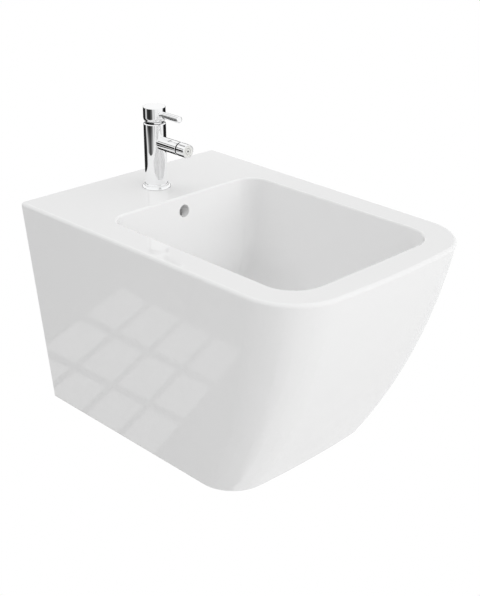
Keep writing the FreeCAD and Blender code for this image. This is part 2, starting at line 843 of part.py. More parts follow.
def tap_body():
    """Column with its stepped cartridge bore, the spout, and the waterways drilled from below and from it."""
    body = turned(
        "tap_body",
        ("0", "-tap_setback", DECK),
        [
            ("0", "ring_floor"),
            ("column_radius", "ring_floor"),
            ("column_radius", "column_top - column_edge"),
            ("column_radius - column_edge", "column_top"),
            ("mouth_radius", "column_top"),
            ("mouth_radius", "column_top - mouth_depth"),
            ("nut_bore", "column_top - mouth_depth"),
            ("nut_bore", "column_top - nut_depth"),
            ("seat_bore", "column_top - nut_depth"),
            ("seat_bore", "column_top - seat_depth"),
            ("0", "column_top - seat_depth"),
        ],
    )
    root = "(seat_bore + spout_root)"
    spout = new_sketch(body, "SpoutCircle", "XZ_Plane", root)
    draw_circle(spout, "spout_radius", "0", SPOUT_LEVEL)
    pad(body, "Spout", spout, f"spout_reach - {root}")

    def at_spout_end(edge):
        return abs(edge.BoundBox.YMin + value("spout_reach")) < NEAR and edge.BoundBox.YLength < NEAR

    round_edges(body, "SpoutEdge", "spout_edge", at_spout_end)
    bore = new_sketch(body, "NippleCircle", "XZ_Plane", "outlet_front")
    draw_circle(bore, "nipple_radius + nipple_play", "0", SPOUT_LEVEL)
    pocket(body, "SpoutBore", bore, "spout_reach - outlet_front + overrun", Reversed=True)
    seat = "column_top - seat_depth"
    drill(body, "Outlet", "outlet_radius", "0", "-outlet_front", seat, f"{seat} - {SPOUT_LEVEL}")
    for side, sign in (("Left", "-"), ("Right", "")):
        place = (f"{sign}inlet_spread", "inlet_back")
        drill(body, f"Thread{side}", "inlet_radius", *place, "ring_floor", "inlet_thread", Reversed=True)
        reach = f"{seat} - ring_floor"
        drill(body, f"Inlet{side}", "waterway_radius", *place, "ring_floor", reach, Reversed=True)
    thread = "fixing_radius + fixing_play"
    drill(body, "FixingHole", thread, "0", "-fixing_front", "ring_floor", "fixing_thread", Reversed=True)
    keep(body, "tap_body")


def base_ring():
    at = ("0", "-tap_setback", DECK)
    body = turned(
        "base_ring",
        at,
        [
            ("ring_inner", "0"),
            ("gasket_inner", "0"),
            ("gasket_inner", "gasket_thickness"),
            ("gasket_outer", "gasket_thickness"),
            ("gasket_outer", "0"),
            ("ring_radius", "0"),
            ("ring_radius - ring_taper", "ring_height - ring_round", "ring_round", 1),
            ("ring_radius - ring_taper - ring_round", "ring_height"),
            ("column_radius + ring_play", "ring_height"),
            ("column_radius + ring_play", "ring_floor"),
            ("ring_inner", "ring_floor"),
        ],
    )
    keep(body, "base_ring")
    gasket = rectangle("gasket_inner + ring_play", "gasket_outer - ring_play", "0", "gasket_thickness")
    keep(turned("gasket", at, gasket), "base_gasket")


def horseshoe(label, top, thickness):
    """Slotted round plate under the deck: the slot clears the supply pipes, the hole takes the stud."""
    body = new_body(label, ("0", "-tap_setback", f"{DECK} - {top} - {thickness}"))
    disc = new_sketch(body, "DiscCircle", "XY_Plane")
    draw_circle(disc, "shoe_radius")
    draw_circle(disc, "fixing_radius + fixing_play", "0", "-fixing_front")
    pad(body, "Disc", disc, thickness)
    slot = new_sketch(body, "SlotOutline", "XY_Plane")
    draw(slot, rectangle("-shoe_slot / 2", "shoe_slot / 2", "-shoe_slot_start", "shoe_radius + overrun"))
    pocket_through(body, "Slot", slot)
    return keep(body, label)


def tap_fixing():
    """Stud, horseshoe seal and plate, and nut that hold the tap to the deck from below."""
    seal_end = "(deck_thickness + shoe_seal_thickness)"
    plate_end = f"({seal_end} + shoe_plate_thickness)"
    stud = doc.addObject("Part::Cylinder", "fixing_stud")
    tie(stud, "Radius", "fixing_radius")
    tie(stud, "Height", "fixing_length + ring_floor + fixing_thread")
    tie(stud, "Placement.Base.y", "-tap_setback - fixing_front")
    tie(stud, "Placement.Base.z", f"{DECK} - fixing_length")
    keep(stud, "fixing_stud")
    horseshoe("fixing_seal", "deck_thickness", "shoe_seal_thickness")
    horseshoe("fixing_plate", seal_end, "shoe_plate_thickness")
    at = ("0", "-tap_setback - fixing_front", f"{DECK} - {plate_end} - fixing_nut_height")
    bore = "fixing_radius + fixing_play"
    keep(hex_nut("fixing_nut", at, "fixing_nut_flats", bore, "fixing_nut_height"), "fixing_nut")


PIVOT = ("0", "-tap_setback", f"{DECK} + column_top")
PORTS = (("-inlet_spread", "inlet_back"), ("inlet_spread", "inlet_back"), ("0", "-outlet_front"))


def drill_ports(body, start, length):
    for number, place in enumerate(PORTS):
        drill(body, f"Port{number}", "port_radius", *place, start, length)


def cartridge():
    """Cartridge in the column's bore, with heights from the pivot: housing, discs and the lever's rotor."""
    seat, floor = "-seat_depth", "(cartridge_floor - seat_depth)"
    housing = turned(
        "cartridge_housing",
        PIVOT,
        [
            ("0", seat),
            ("cartridge_radius", seat),
            ("cartridge_radius", "-nut_depth"),
            ("cartridge_shoulder", "-nut_depth"),
            ("cartridge_shoulder", "-cartridge_top"),
            ("cartridge_lip_bore", "-cartridge_top"),
            ("cartridge_lip_bore", "-cartridge_top - cartridge_lip"),
            ("cartridge_bore", "-cartridge_top - cartridge_lip"),
            ("cartridge_bore", floor),
            ("0", floor),
        ],
    )
    drill_ports(housing, floor, "cartridge_floor + overrun")
    pockets = new_sketch(housing, "SealCircles", "XY_Plane", seat)
    for place in PORTS:
        draw_circle(pockets, "port_seal_radius + port_seal_wire", *place)
    pocket(housing, "SealPockets", pockets, "2 * port_seal_wire", Reversed=True)
    keep(housing, "cartridge_housing")
    rings = []
    for number, (across, along) in enumerate(PORTS):
        rings.append(doc.addObject("Part::Torus", f"port_seal_{number}"))
        tie(rings[-1], "Radius1", "port_seal_radius")
        tie(rings[-1], "Radius2", "port_seal_wire")
        place = (across, f"{PIVOT[1]} + {along}", f"{PIVOT[2]} - seat_depth + port_seal_wire")
        for axis, text in zip("xyz", place):
            tie(rings[-1], f"Placement.Base.{axis}", text)
    seals = doc.addObject("Part::Compound", "cartridge_seals")
    seals.Links = rings
    keep(seals, "cartridge_seals")
    fixed_top = f"({floor} + fixed_disc_thickness)"
    fixed = turned("fixed_disc", PIVOT, rectangle("0", "fixed_disc_radius", floor, fixed_top))
    drill_ports(fixed, fixed_top, "fixed_disc_thickness + overrun")
    keep(fixed, "fixed_disc")
    low = f"({fixed_top} + slide_gap)"
    high = f"({low} + moving_disc_thickness)"
    moving = turned(
        "moving_disc",
        PIVOT,
        [
            ("0", low),
            ("moving_disc_radius", low),
            ("moving_disc_radius", high),
            ("socket_radius", high),
            ("socket_radius", f"{high} - socket_depth"),
            ("0", f"{high} - socket_depth"),
        ],
    )
    keep(moving, "moving_disc")
    rotor_low = f"({high} + rotor_gap)"
    flange_top = "(-cartridge_top - cartridge_lip - rotor_gap)"
    rotor = turned(
        "cartridge_rotor",
        PIVOT,
        [
            ("0", rotor_low),
            ("rotor_radius", rotor_low),
            ("rotor_radius", flange_top),
            ("rotor_neck", flange_top),
            ("rotor_neck", "rotor_top"),
            ("0", "rotor_top"),
        ],
    )
    slot = new_sketch(rotor, "SlotOutline", "XY_Plane")
    wide, long = "rotor_slot_width / 2", "rotor_slot_length / 2"
    draw(slot, rectangle(f"-{wide}", wide, f"-{long}", long))
    pocket_through(rotor, "Slot", slot)
    cross_hole(rotor, "pivot_radius + pivot_play / 2")
    keep(rotor, "cartridge_rotor")
    pin = doc.addObject("Part::Cylinder", "pivot_pin")
    tie(pin, "Radius", "pivot_radius")
    tie(pin, "Height", "2 * (rotor_neck - pivot_set_in)")
    pin.Placement.Rotation = Rotation(Vector(0, 1, 0), 90)
    for axis, text in zip("xyz", ("pivot_set_in - rotor_neck", *PIVOT[1:])):
        tie(pin, f"Placement.Base.{axis}", text)
    keep(pin, "pivot_pin")
    nut = rectangle("cartridge_nut_bore", "nut_bore - cartridge_nut_play", "-nut_depth", "-mouth_depth")
    keep(turned("cartridge_nut", PIVOT, nut), "cartridge_nut")


def cross_hole(body, radius):
    """Hole along X through the pivot."""
    circle = new_sketch(body, "PivotCircle", "YZ_Plane")
    draw_circle(circle, radius)
    pocket_through(body, "PivotHole", circle)


def sphere_height(radius, across):
    return f"sqrt(({radius})^2 - ({across})^2)"


def lever():
    """Lever parts, on spheres about the pivot, so that the cap tilts over the dome at an even gap."""
    neck_start = f"{sphere_height('tip_radius', 'stem_neck')} - tip_drop"
    stem = turned(
        "lever_stem",
        PIVOT,
        [
            ("0", "-tip_drop - tip_radius", "tip_radius", 1),
            ("tip_radius", "-tip_drop", "tip_radius", 1),
            ("stem_neck", neck_start),
            ("stem_neck", "-stem_hub"),
            ("stem_radius", "-stem_hub"),
            ("stem_radius", "stem_top"),
            ("0", "stem_top"),
        ],
    )
    cross_hole(stem, "pivot_radius + pivot_play")
    keep(stem, "lever_stem")
    inner = "dome_radius - dome_wall"
    flange = "-dome_flange_top"
    dome = turned(
        "dome_cover",
        PIVOT,
        [
            (inner, "-mouth_depth"),
            ("mouth_radius - dome_play", "-mouth_depth"),
            ("mouth_radius - dome_play", flange),
            (sphere_height("dome_radius", "dome_flange_top"), flange, "dome_radius", 1),
            ("dome_hole", sphere_height("dome_radius", "dome_hole")),
            ("dome_hole", sphere_height(inner, "dome_hole"), inner, -1),
            (inner, "0"),
        ],
    )
    keep(dome, "dome_cover")
    hollow = "(dome_radius + cap_gap)"
    socket = "stem_radius + stem_play"
    socket_top = "stem_top + stem_play"
    flare_width = "(column_radius - cap_neck_radius)"
    flare = f"({flare_width} + (cap_flare_height - cap_neck_height)^2 / {flare_width}) / 2"
    cap = turned(
        "lever_cap",
        PIVOT,
        [
            (sphere_height(hollow, "cap_lip_height"), "cap_lip_height"),
            ("cap_lip_radius", "cap_lip_height"),
            ("cap_neck_radius", "cap_neck_height", flare, 1),
            ("column_radius", "cap_flare_height"),
            ("column_radius", "cap_top - cap_edge", "cap_edge", 1),
            ("column_radius - cap_edge", "cap_top"),
            ("0", "cap_top"),
            ("0", socket_top),
            (socket, socket_top),
            (socket, sphere_height(hollow, socket), hollow, -1),
        ],
    )
    pin_hole = new_sketch(cap, "PinCircle", "XZ_Plane", "column_radius - pin_thread_length")
    draw_circle(pin_hole, "pin_thread_radius + grub_play", "0", "pin_height")
    pocket(cap, "PinHole", pin_hole, "pin_thread_length + overrun", Reversed=True)
    grub_hole = new_sketch(cap, "GrubCircle", "XZ_Plane")
    draw_circle(grub_hole, "grub_radius + grub_play", "0", "grub_height")
    pocket(cap, "GrubHole", grub_hole, "column_radius + overrun")
    keep(cap, "lever_cap")
    lever_pin()
    grub = doc.addObject("Part::Cylinder", "grub_screw")
    tie(grub, "Radius", "grub_radius")
    tie(grub, "Height", "grub_length")
    grub.Placement.Rotation = Rotation(Vector(1, 0, 0), -90)
    tie(grub, "Placement.Base.y", f"{PIVOT[1]} + stem_radius")
    tie(grub, "Placement.Base.z", f"{PIVOT[2]} + grub_height")
    keep(grub, "grub_screw")


def lever_pin():
    """Round pin lever, its root scribed to the cap's round side, with a thread that screws into the cap."""
    at = (PIVOT[0], PIVOT[1], f"{PIVOT[2]} + pin_height")
    body = turned(
        "lever_pin",
        at,
        [
            ("0", "cap_lip_radius"),
            ("pin_radius", "cap_lip_radius"),
            ("pin_radius", "pin_reach - pin_edge", "pin_edge", 1),
            ("pin_radius - pin_edge", "pin_reach"),
            ("0", "pin_reach"),
        ],
        facing_front=True,
    )
    saddle = new_sketch(body, "SaddleCircle", "XZ_Plane")
    draw_circle(saddle, "column_radius + saddle_gap")
    pocket_through(body, "Saddle", saddle)
    thread_end = "column_radius - pin_thread_length + grub_play"
    turn(body, "Thread", rectangle("0", "pin_thread_radius", thread_end, "column_radius + pin_thread_radius"))
    keep(body, "lever_pin")


def nozzle():
    """Nozzle that swivels on the ball of a nipple in the spout, heights forward from the ball's centre."""
    at = ("0", "-tap_setback - spout_reach - ball_lead", f"{DECK} + {SPOUT_LEVEL}")
    neck = f"(-{sphere_height('ball_radius', 'nipple_radius')})"
    face = sphere_height("ball_radius", "ball_bore")
    nipple = turned(
        "ball_nipple",
        at,
        [
            ("ball_bore", "-ball_lead - nipple_length"),
            ("nipple_radius", "-ball_lead - nipple_length"),
            ("nipple_radius", neck, "ball_radius", 1),
            ("ball_radius", "0", "ball_radius", 1),
            ("ball_bore", face),
        ],
        facing_front=True,
    )
    keep(nipple, "ball_nipple")
    washer_end = "(spout_washer_thickness - ball_lead)"
    ring = rectangle("nipple_radius + nipple_play", "spout_washer_radius", "-ball_lead", washer_end)
    keep(turned("spout_washer", at, ring, facing_front=True), "spout_washer")
    seat = "(ball_radius + ball_play)"
    end = "(nozzle_length - ball_lead)"
    back = f"({washer_end} + nozzle_gap)"
    slope = "tan(nozzle_tilt)"
    lip = "nozzle_lip"
    shell = turned(
        "nozzle_shell",
        at,
        [
            (sphere_height(seat, f"{back} + {lip} * {slope}"), f"{back} + {lip} * {slope}"),
            ("nozzle_radius", f"{back} + nozzle_radius * {slope}"),
            ("nozzle_radius", f"{end} - nozzle_edge", "nozzle_edge", 1),
            ("nozzle_radius - nozzle_edge", end),
            ("nozzle_bore", end),
            ("nozzle_bore", "0"),
            (seat, "0", seat, -1),
        ],
        facing_front=True,
    )
    keep(shell, "nozzle_shell")
    outer = "nozzle_bore - aerator_play"
    ring_start = sphere_height(seat, "seat_ring_start")
    seat_ring = turned(
        "ball_seat",
        at,
        [
            (ring_start, "seat_ring_start"),
            (outer, "seat_ring_start"),
            (outer, "seat_ring_end"),
            ("seat_ring_bore", "seat_ring_end"),
            ("seat_ring_bore", sphere_height(seat, "seat_ring_bore"), seat, -1),
        ],
        facing_front=True,
    )
    keep(seat_ring, "ball_seat")
    screen_end = "(seat_ring_end + screen_thickness)"
    screen = turned("flow_screen", at, rectangle("0", outer, "seat_ring_end", screen_end), facing_front=True)
    depth = "screen_thickness + overrun"
    hole = drill(screen, "Hole", "screen_hole", "screen_circle", "0", screen_end, depth)
    spread(screen, hole, "Holes", "screen_holes")
    keep(screen, "flow_screen")
    front = f"({end} - aerator_recess)"
    back_face = f"({front} - aerator_face)"
    insert = turned(
        "aerator_insert",
        at,
        [
            ("0", back_face),
            ("aerator_bore", back_face),
            ("aerator_bore", screen_end),
            (outer, screen_end),
            (outer, front),
            ("aerator_dot", front),
            ("aerator_dot", f"{front} - aerator_recess"),
            ("0", f"{front} - aerator_recess"),
        ],
        facing_front=True,
    )
    jet = drill(insert, "Jet", "jet_radius", "jet_circle", "0", front, "aerator_face + overrun")
    spread(insert, jet, "Jets", "jet_count")
    keep(insert, "aerator_insert")


def write_nodes():
    """Writes each sub-part to its own file once every object of the document is sound."""
    doc.recompute()
    broken = [thing.Label for thing in doc.Objects if {"Invalid", "Error"} & set(thing.State)]
    broken += [node.Label for node in nodes if node.Shape.isNull() or not node.Shape.isValid()]
    if broken:
        raise RuntimeError(f"not sound: {broken}")
    os.makedirs("parts", exist_ok=True)
    for node in nodes:
        node.Shape.exportStep(os.path.join("parts", f"{node.Label}.step"))
        print(node.Label, len(node.Shape.Solids), round(node.Shape.Volume, 1))


fill_sheet()
ceramic_body()
wall_fixings()
waste()
push_plug()
base_ring()
tap_body()
tap_fixing()
cartridge()
lever()
nozzle()
write_nodes()
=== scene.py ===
import json
import math

import bpy
from mathutils import Matrix, Vector


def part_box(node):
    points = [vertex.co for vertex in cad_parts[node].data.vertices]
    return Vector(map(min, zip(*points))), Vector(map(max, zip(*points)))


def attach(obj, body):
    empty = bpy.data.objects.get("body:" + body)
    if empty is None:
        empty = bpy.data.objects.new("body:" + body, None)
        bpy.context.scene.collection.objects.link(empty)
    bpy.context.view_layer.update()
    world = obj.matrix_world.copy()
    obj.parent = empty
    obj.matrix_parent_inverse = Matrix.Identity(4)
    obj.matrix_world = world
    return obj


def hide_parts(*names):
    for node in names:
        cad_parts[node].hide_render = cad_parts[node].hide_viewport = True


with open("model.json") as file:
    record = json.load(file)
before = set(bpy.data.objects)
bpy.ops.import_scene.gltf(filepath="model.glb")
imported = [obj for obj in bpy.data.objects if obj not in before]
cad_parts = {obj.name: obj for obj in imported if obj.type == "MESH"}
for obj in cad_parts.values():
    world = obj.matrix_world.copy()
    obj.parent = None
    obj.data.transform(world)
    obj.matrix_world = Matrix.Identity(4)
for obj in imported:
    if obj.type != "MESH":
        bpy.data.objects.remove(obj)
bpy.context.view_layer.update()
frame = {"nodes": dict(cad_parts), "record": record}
nodes = frame["nodes"]
print("stage 1: frame loaded,", len(nodes), "nodes")


def newMaterial(name):
    material = bpy.data.materials.new(name)
    material.use_nodes = True
    tree = material.node_tree
    shader = tree.nodes["Principled BSDF"]
    return material, tree, shader


def link(tree, source, target):
    tree.links.new(source, target)


# Finer steps of each noise, and the middle stretch of a noise that holds nearly all its values
noiseSpec = {"tintDetail": 3.0, "grainDetail": 4.0, "reliefDetail": 2.0, "middle": (0.3, 0.7)}


def addNoise(tree, scale, detail, stretch=(1.0, 1.0, 1.0)):
    # three-dimensional noise in the object's own metres
    place = tree.nodes.new("ShaderNodeTexCoord")
    mapping = tree.nodes.new("ShaderNodeMapping")
    mapping.inputs["Scale"].default_value = stretch
    noise = tree.nodes.new("ShaderNodeTexNoise")
    noise.inputs["Scale"].default_value = scale
    noise.inputs["Detail"].default_value = detail
    link(tree, place.outputs["Object"], mapping.inputs["Vector"])
    link(tree, mapping.outputs["Vector"], noise.inputs["Vector"])
    return noise.outputs["Fac"]


def addRange(tree, source, low, high):
    # stretches the middle of a noise to the given ends
    spread = tree.nodes.new("ShaderNodeMapRange")
    spread.inputs["From Min"].default_value = noiseSpec["middle"][0]
    spread.inputs["From Max"].default_value = noiseSpec["middle"][1]
    spread.inputs["To Min"].default_value = low
    spread.inputs["To Max"].default_value = high
    link(tree, source, spread.inputs["Value"])
    return spread.outputs["Result"]


def addBlend(tree, factor, first, second, way="MIX"):
    # mixes two colours, each a plain one or another node's
    mix = tree.nodes.new("ShaderNodeMix")
    mix.data_type = "RGBA"
    mix.blend_type = way
    for socket, colour in ((mix.inputs[6], first), (mix.inputs[7], second)):
        if isinstance(colour, tuple):
            socket.default_value = (*colour, 1.0)
        else:
            link(tree, colour, socket)
    link(tree, factor, mix.inputs[0])
    return mix.outputs[2]


def addBump(tree, shader, height, distance):
    bump = tree.nodes.new("ShaderNodeBump")
    bump.inputs["Distance"].default_value = distance
    link(tree, height, bump.inputs["Height"])
    link(tree, bump.outputs["Normal"], shader.inputs["Normal"])


def addFade(tree, source, start, end):
    # from 0 at the start to 1 at the end, softly
    fade = tree.nodes.new("ShaderNodeMapRange")
    fade.interpolation_type = "SMOOTHSTEP"
    fade.inputs["From Min"].default_value = start
    fade.inputs["From Max"].default_value = end
    link(tree, source, fade.inputs["Value"])
    return fade.outputs["Result"]


def addNear(tree, around, reach):
    # from 0 at the first distance around a point to 1 at the second
    place = tree.nodes.new("ShaderNodeTexCoord")
    away = tree.nodes.new("ShaderNodeVectorMath")
    away.operation = "DISTANCE"
    away.inputs[1].default_value = around
    link(tree, place.outputs["Object"], away.inputs[0])
    return addFade(tree, away.outputs["Value"], *reach)


def addMath(tree, operation, first, second):
    step = tree.nodes.new("ShaderNodeMath")
    step.operation = operation
    for socket, number in zip(step.inputs, (first, second)):
        if isinstance(number, (int, float)):
            socket.default_value = number
        else:
            link(tree, number, socket)
    return step.outputs[0]


def addFacing(tree, source, towards):
    facing = tree.nodes.new("ShaderNodeVectorMath")
    facing.operation = "DOT_PRODUCT"
    facing.inputs[1].default_value = Vector(towards).normalized()
    link(tree, source, facing.inputs[0])
    return facing.outputs["Value"]


def addPaintedShade(tree, colour, paintedShade):
    # painted shade: slightly greyer around a point, on faces that look up
    normal = tree.nodes.new("ShaderNodeNewGeometry").outputs["Normal"]
    share = addFade(tree, addFacing(tree, normal, (0, 0, 1)), *paintedShade["slope"])
    share = addMath(tree, "MULTIPLY", addNear(tree, paintedShade["around"], paintedShade["reach"]), share)
    grey = (paintedShade["grey"], paintedShade["grey"], paintedShade["grey"])
    return addBlend(tree, share, colour, grey, "MULTIPLY")


def makeSurface(spec):
    # colour, roughness and a slight relief, each from its own noise
    material, tree, shader = newMaterial(spec["name"])
    shader.inputs["Metallic"].default_value = spec.get("metallic", 0.0)
    shader.inputs["IOR"].default_value = spec.get("ior", 1.5)
    shader.inputs["Specular IOR Level"].default_value = spec.get("shine", 0.5)
    tint = addNoise(tree, spec["tintScale"], noiseSpec["tintDetail"])
    colour = addBlend(tree, tint, spec["colourLow"], spec["colourHigh"])
    # painted shade in the lower bowl, where the finish lists one
    if "paintedShade" in spec:
        colour = addPaintedShade(tree, colour, spec["paintedShade"])
    link(tree, colour, shader.inputs["Base Color"])
    stretch = spec.get("stretch", (1.0, 1.0, 1.0))
    grain = addNoise(tree, spec["grainScale"], noiseSpec["grainDetail"], stretch)
    link(tree, addRange(tree, grain, *spec["roughness"]), shader.inputs["Roughness"])
    if "relief" in spec:
        height = addNoise(tree, spec["reliefScale"], noiseSpec["reliefDetail"])
        addBump(tree, shader, height, spec["relief"])
    return material


nearlyBlack = (0.006, 0.006, 0.006, 1.0)


def addPaintedDark(material, share):
    # lets the surface go nearly black by the given share, for painted shade and painted reflection
    tree = material.node_tree
    dark = tree.nodes.new("ShaderNodeBsdfDiffuse")
    dark.inputs["Color"].default_value = nearlyBlack
    mix = tree.nodes.new("ShaderNodeMixShader")
    link(tree, share, mix.inputs[0])
    link(tree, tree.nodes["Principled BSDF"].outputs[0], mix.inputs[1])
    link(tree, dark.outputs[0], mix.inputs[2])
    link(tree, mix.outputs[0], tree.nodes["Material Output"].inputs["Surface"])


# Finishes by the record's slots: two colours, the ends of the roughness, and noise scales per metre
surfaces = {
    "glazed_china": {
        "name": "glazedChina",
        "colourLow": (0.921, 0.921, 0.921),
        "colourHigh": (0.936, 0.936, 0.936),
        "tintScale": 6.0,
        "roughness": (0.03, 0.05),
        "grainScale": 14.0,
        "ior": 1.52,
        # painted shade: faces that look up in the lower bowl go slightly greyer around a point
        "paintedShade": {
            "around": (0.0, -0.16, -0.15),
            "reach": (0.22, 0.15),
            "slope": (0.1, 0.45),
            "grey": 0.915,
        },
    },
    "chrome": {
        "name": "polishedChrome",
        "colourLow": (0.93, 0.935, 0.94),
        "colourHigh": (0.96, 0.963, 0.967),
        "tintScale": 30.0,
        "metallic": 1.0,
        "roughness": (0.0, 0.003),
        "grainScale": 60.0,
    },
    "brass": {
        "name": "turnedBrass",
        "colourLow": (0.74, 0.55, 0.26),
        "colourHigh": (0.83, 0.66, 0.36),
        "tintScale": 80.0,
        "metallic": 1.0,
        "roughness": (0.22, 0.36),
        "grainScale": 900.0,
        "stretch": (0.05, 0.05, 1.0),
    },
    "steel": {
        "name": "brightSteel",
        "colourLow": (0.58, 0.59, 0.6),
        "colourHigh": (0.7, 0.71, 0.72),
        "tintScale": 90.0,
        "metallic": 1.0,
        "roughness": (0.2, 0.34),
        "grainScale": 700.0,
        "stretch": (1.0, 1.0, 0.08),
    },
    "nylon": {
        "name": "mouldedNylon",
        "colourLow": (0.8, 0.8, 0.775),
        "colourHigh": (0.86, 0.86, 0.84),
        "tintScale": 70.0,
        "roughness": (0.36, 0.5),
        "grainScale": 400.0,
        "relief": 0.00002,
        "reliefScale": 900.0,
    },
    "disc_ceramic": {
        "name": "lappedCeramic",
        "colourLow": (0.82, 0.79, 0.72),
        "colourHigh": (0.88, 0.86, 0.8),
        "tintScale": 200.0,
        "roughness": (0.1, 0.18),
        "grainScale": 500.0,
    },
    "rubber": {
        "name": "mattRubber",
        "colourLow": (0.01, 0.01, 0.01),
        "colourHigh": (0.02, 0.02, 0.02),
        "tintScale": 120.0,
        "shine": 0.2,
        "roughness": (0.55, 0.75),
        "grainScale": 300.0,
        "relief": 0.00003,
        "reliefScale": 1500.0,
    },
}
materials = {slotName: makeSurface(spec) for slotName, spec in surfaces.items()}
for part in frame["record"]["subparts"]:
    thing = nodes[part["node"]]
    thing.data.materials.clear()
    thing.data.materials.append(materials[part["material_slot"]])

# Chrome painted nearly black by the way a face looks: along the lower flanks of spout and nozzle, in place
# of a dark floor mirrored there, and on the side of the cover that the cap shades
shadeSpecs = (
    {
        "name": "flankChrome",
        "nodes": ("tap_body", "nozzle_shell"),
        "towards": ((-0.6, 0, -0.8), (0.6, 0, -0.8)),
        "fade": (0.85, 0.92),
    },
    {
        "name": "coverChrome",
        "nodes": ("dome_cover",),
        "towards": ((-0.72, 0.69, 0),),
        "fade": (-0.06, 0.04),
    },
)


def makeShaded(spec):
    material = makeSurface({**surfaces["chrome"], "name": spec["name"]})
    tree = material.node_tree
    normal = tree.nodes.new("ShaderNodeNewGeometry").outputs["Normal"]
    share = 0.0
    for side in spec["towards"]:
        share = addMath(tree, "MAXIMUM", addFade(tree, addFacing(tree, normal, side), *spec["fade"]), share)
    addPaintedDark(material, share)
    for nodeName in spec["nodes"]:
        nodes[nodeName].data.materials[0] = material


for spec in shadeSpecs:
    makeShaded(spec)

# Outlet in the nozzle's end: pale moulding, with a dark dot painted in its middle as the shade inside the
# jet's small hole
outletSpec = {"name": "outletNylon", "hole": (0.0016, 0.0011)}


def makeOutlet(spec):
    material = makeSurface({**surfaces["nylon"], "name": spec["name"]})
    low, high = (Vector(corner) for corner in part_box("aerator_insert"))
    middle = ((low.x + high.x) / 2, low.y, (low.z + high.z) / 2)
    # painted shade of the jet's small hole
    addPaintedDark(material, addNear(material.node_tree, middle, spec["hole"]))
    nodes["aerator_insert"].data.materials[0] = material


makeOutlet(outletSpec)

# One stretch of the rim's rounding shades unevenly with the mesh's own normals, so weighted ones take over
evenShading = nodes["ceramic_body"].modifiers.new("evenShading", "WEIGHTED_NORMAL")
evenShading.keep_sharp = False

# Base ring: a rounded flange on the deck with a short collar around the column, radius and height in mm
ringSpec = {
    "profile": (
        (16.0, 0.0),
        (20.6, 0.0),
        (20.9, 0.4),
        (20.7, 1.3),
        (20.2, 2.0),
        (19.3, 2.5),
        (17.8, 2.7),
        (17.1, 2.9),
        (17.0, 3.5),
        (17.0, 5.9),
        (16.8, 6.4),
        (16.4, 6.5),
        (16.1, 6.3),
        (16.0, 5.7),
    ),
    "steps": 96,
    "unit": 0.001,
    "smoothing": 2,
}


def makeRing(spec):
    low, high = (Vector(corner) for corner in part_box("base_ring"))
    middle = (low + high) / 2
    rows = spec["profile"]
    points, faces = [], []
    for step in range(spec["steps"]):
        turn = 2 * math.pi * step / spec["steps"]
        for radius, height in rows:
            outward = Vector((math.cos(turn), math.sin(turn), 0)) * radius * spec["unit"]
            points.append(Vector((middle.x, middle.y, low.z + height * spec["unit"])) + outward)
    for step in range(spec["steps"]):
        here = step * len(rows)
        there = (step + 1) % spec["steps"] * len(rows)
        for row in range(len(rows)):
            following = (row + 1) % len(rows)
            faces.append((here + row, there + row, there + following, here + following))
    mesh = bpy.data.meshes.new("baseRing")
    mesh.from_pydata(points, [], faces)
    mesh.shade_smooth()
    mesh.materials.append(materials["chrome"])
    ring = bpy.data.objects.new("baseRing", mesh)
    bpy.context.scene.collection.objects.link(ring)
    rounding = ring.modifiers.new("rounding", "SUBSURF")
    rounding.levels = spec["smoothing"]
    rounding.render_levels = spec["smoothing"]
    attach(ring, "fixture")
    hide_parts("base_ring")


makeRing(ringSpec)
print("stage 2:", len(materials), "materials on the CAD nodes")

floorSpec = {
    "level": -0.42,
    "half": 4.0,
    "tintScale": 2.0,
    "tintDetail": 2.0,
    "colourLow": (0.8, 0.8, 0.8),
    "colourHigh": (0.83, 0.83, 0.83),
}


def makeFloorMaterial(spec):
    # pale floor that the camera sees as plain white
    material, tree, shader = newMaterial("paleFloor")
    tint = addNoise(tree, spec["tintScale"], spec["tintDetail"])
    link(tree, addBlend(tree, tint, spec["colourLow"], spec["colourHigh"]), shader.inputs["Base Color"])
    glow = tree.nodes.new("ShaderNodeEmission")
    glow.inputs["Color"].default_value = (1.0, 1.0, 1.0, 1.0)
    glow.inputs["Strength"].default_value = 1.0
    path = tree.nodes.new("ShaderNodeLightPath")
    mix = tree.nodes.new("ShaderNodeMixShader")
    link(tree, path.outputs["Is Camera Ray"], mix.inputs[0])
    link(tree, shader.outputs[0], mix.inputs[1])
    link(tree, glow.outputs[0], mix.inputs[2])
    link(tree, mix.outputs[0], tree.nodes["Material Output"].inputs["Surface"])
    return material


def makeFloor(spec):
    half = spec["half"]
    corners = ((-half, -half, 0), (half, -half, 0), (half, half, 0), (-half, half, 0))
    mesh = bpy.data.meshes.new("floor")
    mesh.from_pydata(corners, [], [(0, 1, 2, 3)])
    mesh.materials.append(makeFloorMaterial(spec))
    floor = bpy.data.objects.new("floor", mesh)
    bpy.context.scene.collection.objects.link(floor)
    floor.location.z = spec["level"]
    floor.visible_glossy = False


makeFloor(floorSpec)

# Light of the room: wide soft lights, and one mirrored room each for china and chrome.
# A mirrored room has rings of greys at compass angles, each taking over from the one below within a span
# of heights, and soft-edged cards on top of them, all in degrees.
skySpec = {
    "glows": (
        {"towards": (0.0, -0.87, 0.5), "power": 3.0, "strength": 0.65},
        {"towards": (0.62, -0.62, 0.5), "power": 3.0, "strength": 0.86},
        {"towards": (-0.62, -0.62, 0.5), "power": 3.0, "strength": 0.62},
        {"towards": (0.87, 0.0, 0.5), "power": 3.0, "strength": 0.15},
        {"towards": (0.0, -1.0, 0.0), "power": 3.0, "strength": 0.37},
        {"towards": (-1.0, 0.0, 0.0), "power": 3.0, "strength": 0.21},
        {"towards": (0.0, 0.87, 0.5), "power": 3.0, "strength": 1.01},
        {"towards": (-0.62, 0.62, 0.5), "power": 3.0, "strength": 0.33},
        {"towards": (0.0, 0.64, 0.77), "power": 6.0, "strength": 0.4},
        {"towards": (0.64, 0.0, 0.77), "power": 6.0, "strength": 0.12},
    ),
}
